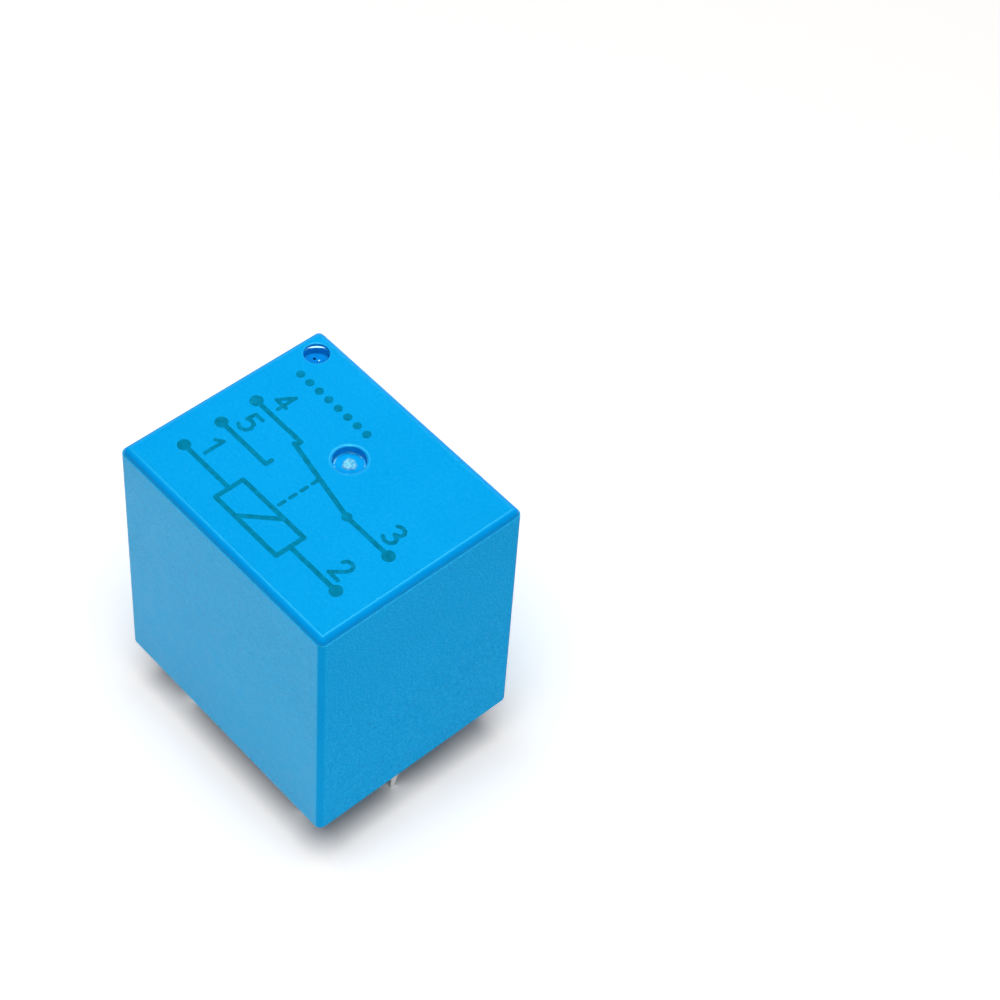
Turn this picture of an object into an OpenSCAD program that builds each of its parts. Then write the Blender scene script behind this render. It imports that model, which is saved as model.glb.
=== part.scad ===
// Sealed five-pin changeover relay for a printed circuit board.
// Origin: centre of the rim plane that sits on the board.
// +Z points up through the cover, +X points to the end with the single pin.
// The armature is drawn released, resting against the normally closed contact.

/* [Cover] */
// Outer length at the open rim
cover_l = 20.3; // [19:0.1:24]
// Outer width at the open rim
cover_w = 16.7; // [15.6:0.1:20]
// Height from the rim to the flat top
cover_h = 20.45; // [17:0.05:26]
// Thickness of the side walls
cover_wall = 0.6; // [0.4:0.05:0.8]
// Thickness of the top
cover_top = 0.9; // [0.7:0.05:1.4]
// How far each side leans in between the rim and the top
cover_draft = 0.13; // [0.02:0.01:0.25]
// Radius of the upright outer edges at the rim
edge_r = 0.65; // [0.4:0.05:1.2]
// Radius of the rounded top edges
top_r = 0.4; // [0.15:0.05:0.8]
// Radius of the upright inner edges at the rim
inner_r = 0.45; // [0.3:0.05:0.8]
// Diameter of the vent recess
vent_d = 1.8; // [1.2:0.1:2.2]
// Distance of the vent recess's centre from the two outer faces
vent_inset = 1.7; // [1.5:0.05:2.5]
// Thickness left under the vent recess
vent_skin = 0.35; // [0.2:0.05:0.4]
// Diameter of the closed vent nib
vent_nib_d = 0.5; // [0.3:0.05:1]
// Depth of the vent nib's top below the cover's top
vent_nib_drop = 0.45; // [0.1:0.05:0.5]
// Diameter of the moulding gate recess
gate_d = 2.3; // [1.6:0.05:3]
// Place of the gate recess along the length, from the middle of the top
gate_x = -0.2; // [-3:0.1:3]
// Place of the gate recess across the width, from the middle of the top
gate_y = 2.4; // [0:0.1:4]
// Thickness left under the gate recess
gate_skin = 0.4; // [0.2:0.05:0.5]
// Diameter of the gate stub
gate_stub_d = 0.95; // [0.6:0.05:1.2]
// Depth of the gate stub's top below the cover's top
gate_stub_drop = 0.4; // [0.1:0.05:0.45]
// Radius of the rounded lips of the two recesses
lip_r = 0.12; // [0.05:0.01:0.2]

/* [Pins] */
// Distance of the single pin from the cover's end face
com_inset = 2.05; // [1.6:0.05:2.6]
// Distance of the single pin past the coil pins
com_offset = 2; // [1.8:0.05:2.2]
// Distance of the contact pins from the cover's other end face
contact_inset = 4.05; // [3.4:0.05:4.6]
// Distance of both pairs of pins from the cover's side faces
pair_inset = 2.35; // [1.9:0.05:2.8]
// Length of the pins below the rim
pin_reach = 4.7; // [3:0.1:6]
// Diameter of the round coil pins
coil_pin_d = 0.8; // [0.6:0.05:1]
// Side of the square shank of the coil pins inside the relay
coil_shank = 0.6; // [0.5:0.05:0.65]
// Width of the flat pins
blade_w = 1; // [0.8:0.05:1.4]
// Thickness of the flat pins and of their strips
blade_t = 0.5; // [0.4:0.05:0.6]
// Length of the tapered pin tips
tip_l = 0.45; // [0.2:0.05:0.8]
// Length of the slanted cut on the single pin's tip
com_tip_l = 1.7; // [0.8:0.1:2.4]
// Width left at the single pin's tip
com_tip_w = 0.4; // [0.3:0.05:0.7]

/* [Base and resin] */
// Depth of the resin's surface inside the rim
resin_drop = 0.6; // [0.3:0.05:1]
// Thickness of the resin
resin_t = 0.6; // [0.4:0.05:1]
// Thickness of the base plate
base_t = 1.2; // [0.9:0.05:1.6]
// Length of the bare plateau under the base
plateau_l = 10.4; // [8:0.1:10.6]
// Width of the bare plateau under the base
plateau_w = 10.8; // [8:0.1:11]
// Place of the plateau's middle along the length
plateau_x = -0.4; // [-0.6:0.1:0]
// Corner cut of the plateau
plateau_cut = 2.2; // [1:0.1:3]
// Height of the plateau past the resin's surface
plateau_proud = 0.08; // [0.04:0.02:0.2]
// Diameter of the round mark in the middle of the plateau
mark_d = 3.8; // [2:0.1:5]
// Depth of the round mark
mark_depth = 0.05; // [0.02:0.01:0.2]
// Diameter of the four ejector marks
ejector_d = 1.1; // [0.6:0.1:1.4]
// Distance between the ejector marks along the length
ejector_pitch_x = 9.6; // [7:0.1:9.6]
// Distance between the ejector marks across the width
ejector_pitch_y = 5.7; // [3:0.1:5.7]
// Height of the two towers that hold the contact strips
tower_h = 7; // [4:0.1:8]
// Wall of the towers round the strips
tower_wall = 0.8; // [0.5:0.05:0.9]

/* [Magnet] */
// Diameter of the core
core_d = 4.2; // [3.4:0.1:4.8]
// Diameter of the core's staked foot
foot_d = 3; // [2:0.1:3.2]
// Diameter of the pole head
pole_d = 6; // [5.2:0.1:6.8]
// Thickness of the pole head
pole_t = 0.8; // [0.5:0.05:1.2]
// Outer diameter of the winding
winding_d = 9.8; // [8.4:0.1:10.2]
// Wall of the bobbin's tube
tube_wall = 0.6; // [0.4:0.05:0.9]
// Thickness of the bobbin's flanges
flange_t = 0.8; // [0.5:0.05:1.2]
// How far the flanges stand out past the winding
flange_rim = 0.5; // [0.3:0.05:0.7]
// Wall of the bobbin's ears round the coil pins
ear_wall = 0.7; // [0.4:0.05:0.8]
// Height of the ears above the lower flange
ear_rise = 0.4; // [0.2:0.05:1]
// Length of the coil pins above the ears
post_h = 1.6; // [1.3:0.05:2.2]
// Diameter of the winding's wire ends
wire_d = 0.18; // [0.12:0.01:0.24]
// Diameter of the solder bead on a coil pin
bead_d = 1.15; // [1:0.05:1.3]
// Thickness of the yoke
yoke_t = 1.2; // [0.9:0.05:1.4]
// Width of the yoke
yoke_w = 9; // [7.4:0.1:9.4]
// Inner bend radius of the yoke
yoke_bend = 0.3; // [0.2:0.05:0.6]
// Gap between the bobbin and the yoke's inner bend
yoke_gap = 0.05; // [0.03:0.01:0.2]

/* [Armature and contacts] */
// Thickness of the armature
armature_t = 1.2; // [1:0.05:1.5]
// Width of the armature at the hinge
armature_w = 8.6; // [7:0.1:9.4]
// Width of the armature at its free end
armature_tip_w = 6.4; // [5:0.1:7]
// How far the armature reaches past the pole head
armature_over = 0.3; // [0.2:0.05:0.6]
// Gap between the armature's tail and the upright leg of the spring
tail_gap = 0.3; // [0.2:0.05:0.5]
// Gap left between the pulled-in armature and the yoke and pole
hinge_gap = 0.04; // [0.03:0.01:0.08]
// Thickness of the contact spring
spring_t = 0.2; // [0.12:0.01:0.3]
// Width of the contact spring at the hinge
spring_w = 6; // [5:0.1:7]
// Width of the contact spring at the moving contact
spring_tip_w = 3.6; // [3.2:0.1:4.4]
// Inner bend radius of the contact spring
bend_r = 0.9; // [0.6:0.05:0.95]
// Width of the window cut in the spring's bend
window_w = 2.6; // [1:0.1:3]
// Diameter of the half-pierced bosses that hold the strips
boss_d = 1.3; // [0.9:0.05:1.5]
// Distance between the bosses of a pair
boss_pitch = 2.8; // [2:0.1:3]
// Height of the bosses past the strips they hold
boss_proud = 0.12; // [0.06:0.02:0.2]
// Width of the single pin's plate on the yoke
com_plate_w = 4.8; // [4.4:0.1:6]
// Height of the single pin's plate on the yoke
com_plate_h = 3.6; // [2.4:0.1:4]
// Diameter of the contact heads
contact_d = 3; // [2.4:0.1:3.2]
// Height of the moving contact's heads
moving_h = 0.7; // [0.5:0.05:0.8]
// Dome radius of the moving contact's heads
dome_r = 8; // [5:0.5:14]
// Height of the fixed contacts' heads
fixed_h = 0.6; // [0.4:0.05:0.8]
// Diameter of the contact rivets' shanks
shank_d = 1.4; // [1:0.1:1.8]
// Diameter of the fixed rivets' back heads
back_d = 2.1; // [1.9:0.1:2.4]
// Height of the fixed rivets' back heads
back_h = 0.15; // [0.1:0.05:0.25]
// Width of the fixed contact arms
arm_w = 2.8; // [2.4:0.1:3.2]
// Inner bend radius of the fixed contact arms
arm_bend = 0.4; // [0.2:0.05:0.6]
// Travel of the moving contact
contact_travel = 0.6; // [0.3:0.05:0.9]
// Gap left between the contacts where they close
touch_gap = 0.03; // [0.02:0.01:0.06]
// Gap between the upper contact's rivet and the cover's top
roof_gap = 0.25; // [0.1:0.05:0.5]

/* [Fits] */
// Gap between the base's edge and the cover
base_gap = 0.05; // [0.03:0.01:0.1]
// Gap round pins, strips and rivets in their holes
fit_gap = 0.05; // [0.03:0.01:0.08]

/* [Hidden] */
$fn = 48;
// Length by which a cut runs past the face that it opens
cut = 1;

// Slope of the drafted walls, as run for each unit of height
slope = cover_draft / cover_h;
cavity_l = cover_l - 2 * cover_wall;
cavity_w = cover_w - 2 * cover_wall;
roof_z = cover_h - cover_top;
top_l = cover_l - 2 * cover_draft;
top_w = cover_w - 2 * cover_draft;

// Pin grid: 12.2 along the length and 12 across, as boards are drilled for such relays
com_x = cover_l / 2 - com_inset;
coil_x = com_x - com_offset;
contact_x = contact_inset - cover_l / 2;
pin_y = cover_w / 2 - pair_inset;

plateau_z = resin_drop - plateau_proud;
base_z = resin_drop + resin_t;
seat_z = base_z + base_t;
tower_z = seat_z + tower_h;

// Yoke and bobbin: the single pin's strip lies on the back of the yoke
yoke_back = com_x - blade_t / 2;
yoke_face = yoke_back - yoke_t;
yoke_outer_r = yoke_bend + yoke_t;
flange_r = winding_d / 2 + flange_rim;
core_x = yoke_face - yoke_bend - yoke_gap - flange_r;
yoke_end = core_x - foot_d / 2 - yoke_t;
bobbin_z = seat_z + yoke_t;
winding_z = bobbin_z + flange_t;
ear_z = winding_z + ear_rise;
tube_r = core_d / 2 + fit_gap + tube_wall;

// Hinge and contacts, stacked down from the cover's roof
hinge_x = yoke_back - tail_gap;
contact_reach = hinge_x - contact_x;
open_angle = asin(contact_travel / contact_reach);
spring_up = hinge_gap + armature_t;
nc_arm_z = roof_z - roof_gap - back_h - blade_t;
nc_face_z = nc_arm_z - fixed_h;
moving_top = spring_up + spring_t + moving_h;
hinge_z = nc_face_z - touch_gap - contact_travel - moving_top * cos(open_angle);
no_face_z = hinge_z + spring_up - moving_h - touch_gap;
no_arm_z = no_face_z - fixed_h - blade_t;
armature_l = hinge_x - (core_x - pole_d / 2 - armature_over);
flange_top_z = hinge_z - pole_t;
winding_top_z = flange_top_z - flange_t;

// Contact spring: an upright leg on the yoke, a bend, and a tilted arm
bend_x = yoke_back + touch_gap - bend_r;
bend_z = hinge_z + (spring_up - bend_r - (bend_x - hinge_x) * sin(open_angle)) / cos(open_angle);
com_plate_z = seat_z + yoke_outer_r;
com_plate_top = com_plate_z + com_plate_h;
com_boss_z = com_plate_z + com_plate_h / 2;
// Room round a boss inside the strip that it holds
boss_rim = boss_d;
spring_foot_z = com_plate_top + boss_rim / 2;
spring_boss_z = spring_foot_z + boss_rim;
armature_boss_x = -boss_rim - bend_r - boss_d;

// Tangent from a coil pin to the winding, for the wire ends
lead_away = norm([coil_x - core_x, pin_y]);
lead_r = (winding_d + wire_d) / 2;
lead_turn = atan2(pin_y, coil_x - core_x) + acos(lead_r / lead_away);
lead_start = [core_x + lead_r * cos(lead_turn), lead_r * sin(lead_turn)];
lead_z = ear_z + wire_d;
// Wire turns on a coil pin, each a little sunk in the next
lead_turns = 3;
lead_step = 0.85 * wire_d;
lead_ring_r = coil_shank / sqrt(2) + wire_d / 2;

// Section of a drafted block's edge, measured out from the centre of its corner radius
module edge_profile(z0, z1, r, round_r) {
    tilt = atan(slope);
    in_x = r - slope * (z1 - round_r) - round_r / cos(tilt);
    if (round_r > 0) {
        union() {
            polygon([
                [0, z0], [r - slope * z0, z0],
                [in_x + round_r * cos(tilt), z1 - round_r + round_r * sin(tilt)],
                [in_x, z1 - round_r], [in_x, z1], [0, z1],
            ]);
            translate([in_x, z1 - round_r]) circle(round_r);
        }
    } else {
        polygon([[0, z0], [r - slope * z0, z0], [r - slope * z1, z1], [0, z1]]);
    }
}

// Section right across a drafted block
module across_profile(span, z0, z1, r, round_r) {
    half = span / 2 - r;
    union() {
        translate([-half, z0]) square([2 * half, z1 - z0]);
        translate([half, 0]) edge_profile(z0, z1, r, round_r);
        translate([-half, 0]) mirror([1, 0]) edge_profile(z0, z1, r, round_r);
    }
}

// Block that leans in as the cover does, l by w at the rim plane, with upright edges rounded
// and, where round_r is set, its top edges rounded too
module drafted_block(l, w, z0, z1, r, round_r = 0) {
    along = l - 2 * r;
    aside = w - 2 * r;
    union() {
        translate([0, aside / 2, 0]) rotate([90, 0, 0])
            linear_extrude(aside) across_profile(l, z0, z1, r, round_r);
        translate([-along / 2, 0, 0]) rotate([90, 0, 90])
            linear_extrude(along) across_profile(w, z0, z1, r, round_r);
        for (sx = [-1, 1], sy = [-1, 1])
            translate([sx * along / 2, sy * aside / 2, 0])
                rotate_extrude() intersection() {
                    edge_profile(z0, z1, r, round_r);
                    translate([0, z0]) square([2 * r, z1 - z0]);
                }
    }
}

// Rectangular prism centred on a point in plan
module post(size_x, size_y, z0, z1) {
    translate([-size_x / 2, -size_y / 2, z0]) cube([size_x, size_y, z1 - z0]);
}

// Flat strip standing across the width (its face towards X), drawn as [y, z]
module upright_strip(thickness) {
    rotate([90, 0, 90]) linear_extrude(thickness) children();
}

// Everything inside the outer side of a bend, about the bend's centre
module bend_region(r, arm, leg, tilt) {
    union() {
        circle(r);
        rotate(-tilt) translate([-arm, -leg]) square([arm, leg + r]);
        translate([-arm, -leg]) square([arm + r, leg]);
    }
}

// Side outline of a bent strip, about the bend's centre: an arm to the left and a leg downwards
module bent_strip(inner_r, thickness, arm, leg, tilt = 0) {
    difference() {
        bend_region(inner_r + thickness, arm, leg, tilt);
        bend_region(inner_r, arm + cut, leg + cut, tilt);
    }
}

// Outline of a flat pin with a tapered tip, from the tip up to z1
module blade_outline(z1) {
    polygon([
        [-blade_w / 4, -pin_reach], [blade_w / 4, -pin_reach],
        [blade_w / 2, -pin_reach + tip_l], [blade_w / 2, z1],
        [-blade_w / 2, z1], [-blade_w / 2, -pin_reach + tip_l],
    ]);
}

// Outline of the single pin, with its tip cut at a slant on one side, from the tip up to z1
module com_outline(z1) {
    polygon([
        [-blade_w / 2, -pin_reach], [-blade_w / 2 + com_tip_w, -pin_reach],
        [blade_w / 2, -pin_reach + com_tip_l], [blade_w / 2, z1], [-blade_w / 2, z1],
    ]);
}

// Puts its children on the armature, drawn about the hinge as if pulled in
module on_hinge() {
    translate([hinge_x, 0, hinge_z]) rotate([0, open_angle, 0]) children();
}

// Cutter for a round recess in the cover's top, with a rounded lip
module recess(diameter, floor_z) {
    r = diameter / 2;
    rotate_extrude() difference() {
        translate([0, floor_z]) square([r + lip_r, cover_h + cut - floor_z]);
        translate([r, floor_z - cut]) square([lip_r + cut, cover_h - lip_r - floor_z + cut]);
        translate([r + lip_r, cover_h - lip_r]) circle(lip_r);
    }
}

module cover() {
    round_r = min(top_r, edge_r - cover_draft);
    vent_x = -(cover_l / 2 - vent_inset);
    vent_y = cover_w / 2 - vent_inset;
    color([0.0, 0.66, 0.95])
    union() {
        difference() {
            drafted_block(cover_l, cover_w, 0, cover_h, edge_r, round_r);
            drafted_block(cavity_l, cavity_w, -cut, roof_z, inner_r);
            translate([vent_x, vent_y, 0]) recess(vent_d, roof_z + vent_skin);
            translate([gate_x, gate_y, 0]) recess(gate_d, roof_z + gate_skin);
        }
        translate([vent_x, vent_y, roof_z + vent_skin / 2])
            cylinder(d = vent_nib_d, h = cover_top - vent_skin / 2 - vent_nib_drop);
        translate([gate_x, gate_y, roof_z + gate_skin / 2])
            cylinder(d = gate_stub_d, h = cover_top - gate_skin / 2 - gate_stub_drop);
    }
}

// Outline of the bare plateau under the base
module plateau_outline() {
    half_l = plateau_l / 2;
    half_w = plateau_w / 2;
    translate([plateau_x, 0]) polygon([
        [half_l - plateau_cut, -half_w], [half_l, -half_w + plateau_cut],
        [half_l, half_w - plateau_cut], [half_l - plateau_cut, half_w],
        [-half_l + plateau_cut, half_w], [-half_l, half_w - plateau_cut],
        [-half_l, -half_w + plateau_cut], [-half_l + plateau_cut, -half_w],
    ]);
}

// Sections of all five pins where they pass the base, grown by a gap on each side
module pin_cuts(gap, z0, z1) {
    for (side = [-1, 1]) {
        translate([coil_x, side * pin_y, 0])
            post(coil_shank + 2 * gap, coil_shank + 2 * gap, z0, z1);
        translate([contact_x, side * pin_y, 0])
            post(blade_w + 2 * gap, blade_t + 2 * gap, z0, z1);
    }
    translate([com_x, 0, 0])
        post(blade_t + 2 * gap, blade_w + 2 * gap, z0, z1);
}

module base() {
    color([0.09, 0.1, 0.11])
    difference() {
        union() {
            drafted_block(cavity_l - 2 * base_gap, cavity_w - 2 * base_gap, base_z, seat_z, inner_r);
            translate([0, 0, plateau_z])
                linear_extrude(base_z - plateau_z + base_t / 2) plateau_outline();
            intersection() {
                drafted_block(cavity_l - 2 * base_gap, cavity_w - 2 * base_gap,
                    base_z, tower_z + cut, inner_r);
                for (side = [-1, 1])
                    translate([contact_x, side * pin_y, 0])
                        post(blade_w + 2 * tower_wall, blade_t + 2 * tower_wall, base_z, tower_z);
            }
        }
        pin_cuts(fit_gap, plateau_z - cut, tower_z + cut);
        translate([plateau_x, 0, plateau_z - cut])
            cylinder(d = mark_d, h = cut + mark_depth);
        for (sx = [-1, 1], sy = [-1, 1])
            translate([plateau_x + sx * ejector_pitch_x / 2, sy * ejector_pitch_y / 2, plateau_z - cut])
                cylinder(d = ejector_d, h = cut + mark_depth);
    }
}

module potting() {
    color([0.06, 0.07, 0.08])
    difference() {
        drafted_block(cavity_l, cavity_w, resin_drop, base_z, inner_r);
        translate([0, 0, resin_drop - cut])
            linear_extrude(resin_t + 2 * cut) plateau_outline();
        pin_cuts(0, resin_drop - cut, base_z + cut);
    }
}

module bobbin() {
    ear_in = yoke_w / 2 + fit_gap;
    ear_out = pin_y + coil_shank / 2 + ear_wall;
    ear_l = coil_x + coil_shank / 2 + ear_wall - core_x;
    color([0.93, 0.92, 0.88])
    difference() {
        union() {
            translate([core_x, 0, bobbin_z]) cylinder(r = flange_r, h = flange_t);
            translate([core_x, 0, bobbin_z]) cylinder(r = tube_r, h = flange_top_z - bobbin_z);
            translate([core_x, 0, winding_top_z]) cylinder(r = flange_r, h = flange_t);
            for (side = [0, 1]) mirror([0, side, 0])
                translate([core_x, ear_in, seat_z]) cube([ear_l, ear_out - ear_in, ear_z - seat_z]);
        }
        translate([core_x, 0, bobbin_z - cut])
            cylinder(d = core_d + 2 * fit_gap, h = flange_top_z - bobbin_z + 2 * cut);
        difference() {
            translate([core_x, 0, winding_z])
                cylinder(d = winding_d, h = winding_top_z - winding_z);
            translate([core_x, 0, winding_z])
                cylinder(r = tube_r, h = winding_top_z - winding_z);
        }
        pin_cuts(fit_gap, seat_z - cut, ear_z + cut);
    }
}

module coil_winding() {
    color([0.72, 0.38, 0.17])
    translate([core_x, 0, winding_z])
    difference() {
        cylinder(d = winding_d, h = winding_top_z - winding_z);
        translate([0, 0, -cut])
            cylinder(r = tube_r, h = winding_top_z - winding_z + 2 * cut);
    }
}

// One end of the winding, drawn at the +Y side: a straight run and turns round the pin
module coil_lead() {
    run = [coil_x - lead_start.x, pin_y - lead_start.y];
    run_l = norm(run) - coil_shank / sqrt(2) - wire_d / 2;
    color([0.78, 0.42, 0.2])
    union() {
        translate([lead_start.x, lead_start.y, lead_z])
            rotate([0, 90, atan2(run.y, run.x)]) cylinder(d = wire_d, h = run_l);
        for (turn = [0 : lead_turns - 1])
            translate([coil_x, pin_y, lead_z + turn * lead_step])
                rotate_extrude() translate([lead_ring_r, 0]) circle(d = wire_d);
    }
}

module coil_lead_a() {
    coil_lead();
}

module coil_lead_b() {
    mirror([0, 1, 0]) coil_lead();
}

// Solder bead over the top of a coil pin, drawn at the +Y side
module coil_joint() {
    color([0.75, 0.76, 0.78])
    difference() {
        translate([coil_x, pin_y, ear_z + post_h]) sphere(d = bead_d);
        translate([coil_x, pin_y, 0]) post(coil_shank, coil_shank, ear_z, ear_z + post_h);
    }
}

module coil_joint_a() {
    coil_joint();
}

module coil_joint_b() {
    mirror([0, 1, 0]) coil_joint();
}

// Coil pin, drawn at the +Y side: a round leg below the resin and a square shank above
module coil_terminal() {
    color([0.8, 0.81, 0.82])
    translate([coil_x, pin_y, 0])
    union() {
        translate([0, 0, -pin_reach])
            cylinder(d1 = coil_pin_d / 2, d2 = coil_pin_d, h = tip_l);
        translate([0, 0, -pin_reach + tip_l])
            cylinder(d = coil_pin_d, h = pin_reach - tip_l + resin_drop);
        post(coil_shank, coil_shank, resin_drop, ear_z + post_h);
    }
}

module coil_terminal_a() {
    coil_terminal();
}

module coil_terminal_b() {
    mirror([0, 1, 0]) coil_terminal();
}

module core() {
    color([0.62, 0.62, 0.6])
    translate([core_x, 0, 0])
    union() {
        translate([0, 0, seat_z]) cylinder(d = foot_d, h = yoke_t);
        translate([0, 0, bobbin_z]) cylinder(d = core_d, h = hinge_z - bobbin_z);
        translate([0, 0, flange_top_z]) cylinder(d = pole_d, h = pole_t);
    }
}

// Side outline of the yoke: a lying leg, a round bend and an upright leg
module yoke_outline() {
    bend_centre = [yoke_back - yoke_outer_r, seat_z + yoke_outer_r];
    translate(bend_centre) mirror([0, 1])
        bent_strip(yoke_bend, yoke_t, bend_centre.x - yoke_end, hinge_z - bend_centre.y);
}

// Pair of half-pierced bosses on the back of the yoke
module yoke_bosses(z, diameter, held_t) {
    for (side = [-1, 1])
        translate([yoke_face + yoke_t / 2, side * boss_pitch / 2, z])
            rotate([0, 90, 0]) cylinder(d = diameter, h = yoke_t / 2 + held_t);
}

module yoke() {
    color([0.68, 0.68, 0.66])
    difference() {
        union() {
            translate([0, yoke_w / 2, 0]) rotate([90, 0, 0]) linear_extrude(yoke_w) yoke_outline();
            yoke_bosses(com_boss_z, boss_d, blade_t + boss_proud);
            yoke_bosses(spring_boss_z, boss_d, spring_t + touch_gap + boss_proud);
        }
        translate([core_x, 0, seat_z - cut])
            cylinder(d = foot_d + 2 * fit_gap, h = yoke_t + 2 * cut);
    }
}

module com_terminal() {
    color([0.8, 0.81, 0.82])
    difference() {
        translate([yoke_back, 0, 0]) upright_strip(blade_t) union() {
            com_outline(com_plate_z);
            translate([-com_plate_w / 2, com_plate_z]) square([com_plate_w, com_plate_h]);
        }
        yoke_bosses(com_boss_z, boss_d + 2 * fit_gap, blade_t + cut);
    }
}

// Plan of the armature, from the hinge towards the contacts
module armature_plan() {
    taper_x = -armature_l / 2;
    corner = armature_t / 2;
    polygon([
        [0, -armature_w / 2], [0, armature_w / 2], [taper_x, armature_w / 2],
        [-armature_l + corner, armature_tip_w / 2], [-armature_l, armature_tip_w / 2 - corner],
        [-armature_l, -armature_tip_w / 2 + corner], [-armature_l + corner, -armature_tip_w / 2],
        [taper_x, -armature_w / 2],
    ]);
}

// Pair of half-pierced bosses on top of the armature
module armature_bosses(diameter, held_t) {
    for (side = [-1, 1])
        translate([armature_boss_x, side * boss_pitch / 2, hinge_gap + armature_t / 2])
            cylinder(d = diameter, h = armature_t / 2 + held_t);
}

// Side outline of the armature, with the tail's top edge rounded under the spring's bend
module armature_outline() {
    union() {
        translate([-armature_l, hinge_gap]) square([armature_l - bend_r, armature_t]);
        translate([-bend_r, hinge_gap]) square([bend_r, armature_t - bend_r]);
        translate([-bend_r, spring_up - bend_r]) intersection() {
            circle(bend_r);
            square(bend_r);
        }
    }
}

module armature() {
    color([0.7, 0.7, 0.68])
    on_hinge() union() {
        intersection() {
            translate([0, armature_w / 2, 0]) rotate([90, 0, 0])
                linear_extrude(armature_w) armature_outline();
            linear_extrude(spring_up) armature_plan();
        }
        armature_bosses(boss_d, spring_t + boss_proud);
    }
}

// Plan of the spring, about the hinge, with a round end under the moving contact
module spring_plan() {
    shoulder_x = -armature_l;
    past_leg = 2 * bend_r;
    difference() {
        union() {
            polygon([
                [past_leg, -spring_w / 2], [past_leg, spring_w / 2],
                [armature_boss_x - boss_d, spring_w / 2], [shoulder_x, spring_tip_w / 2],
                [-contact_reach, spring_tip_w / 2], [-contact_reach, -spring_tip_w / 2],
                [shoulder_x, -spring_tip_w / 2], [armature_boss_x - boss_d, -spring_w / 2],
            ]);
            translate([-contact_reach, 0]) circle(d = spring_tip_w);
        }
        translate([-contact_reach, 0]) circle(d = shank_d + 2 * fit_gap);
    }
}

module contact_spring() {
    color([0.8, 0.55, 0.28])
    difference() {
        intersection() {
            translate([bend_x, spring_w / 2, bend_z]) rotate([90, 0, 0]) linear_extrude(spring_w)
                bent_strip(bend_r, spring_t, contact_reach + spring_tip_w,
                    bend_z - spring_foot_z, open_angle);
            on_hinge() translate([0, 0, -hinge_z]) linear_extrude(2 * hinge_z) spring_plan();
        }
        translate([bend_x - spring_t, -window_w / 2, bend_z - bend_r])
            cube([2 * bend_r + spring_t, window_w, 2 * bend_r + 2 * spring_t]);
        yoke_bosses(spring_boss_z, boss_d + 2 * fit_gap, spring_t + cut);
        on_hinge() armature_bosses(boss_d + 2 * fit_gap, spring_t + cut);
    }
}

// Domed contact head standing on z = 0
module domed_head() {
    intersection() {
        cylinder(d = contact_d, h = moving_h);
        translate([0, 0, moving_h - dome_r]) sphere(r = dome_r);
    }
}

module moving_contact() {
    color([0.86, 0.86, 0.84])
    on_hinge() translate([-contact_reach, 0, spring_up])
    union() {
        translate([0, 0, spring_t]) domed_head();
        mirror([0, 0, 1]) domed_head();
        cylinder(d = shank_d, h = spring_t);
    }
}

// Side outline of a fixed contact's strip, as [y, z]: a leg up from the pin, a bend and an arm
module strip_outline(arm_z) {
    bend_centre = [pin_y - blade_t / 2 - arm_bend, arm_z - arm_bend];
    translate(bend_centre)
        bent_strip(arm_bend, blade_t, bend_centre.x + arm_w / 2, bend_centre.y + pin_reach);
}

// Strip of a fixed contact, drawn at the +Y side with the arm's underside at arm_z
module contact_strip(arm_z) {
    color([0.78, 0.62, 0.4])
    translate([contact_x, 0, 0])
    difference() {
        intersection() {
            translate([-arm_w / 2, 0, 0]) upright_strip(arm_w) strip_outline(arm_z);
            translate([0, cover_w, 0]) rotate([90, 0, 0]) linear_extrude(2 * cover_w) union() {
                blade_outline(tower_z);
                translate([-arm_w / 2, tower_z]) square([arm_w, cover_h]);
            }
            translate([0, 0, -cover_h]) linear_extrude(3 * cover_h) union() {
                translate([-arm_w / 2, 0]) square([arm_w, cover_w]);
                circle(d = arm_w);
            }
        }
        translate([0, 0, arm_z - cut])
            cylinder(d = shank_d + 2 * fit_gap, h = blade_t + 2 * cut);
    }
}

// Fixed contact rivet, head up, with the strip's underside at z = 0
module fixed_rivet() {
    color([0.86, 0.86, 0.84])
    union() {
        translate([0, 0, blade_t]) cylinder(d = contact_d, h = fixed_h);
        cylinder(d = shank_d, h = blade_t);
        translate([0, 0, -back_h]) cylinder(d = back_d, h = back_h);
    }
}

module no_terminal() {
    contact_strip(no_arm_z);
}

module nc_terminal() {
    mirror([0, 1, 0]) contact_strip(nc_arm_z);
}

module no_contact() {
    translate([contact_x, 0, no_arm_z]) fixed_rivet();
}

module nc_contact() {
    translate([contact_x, 0, nc_arm_z + blade_t]) mirror([0, 0, 1]) fixed_rivet();
}

cover();
base();
potting();
bobbin();
coil_winding();
coil_lead_a();
coil_lead_b();
coil_joint_a();
coil_joint_b();
coil_terminal_a();
coil_terminal_b();
core();
yoke();
com_terminal();
armature();
contact_spring();
moving_contact();
no_terminal();
no_contact();
nc_terminal();
nc_contact();
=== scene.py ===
import math

import bmesh
import bpy
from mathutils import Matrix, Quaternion, Vector, noise


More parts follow.
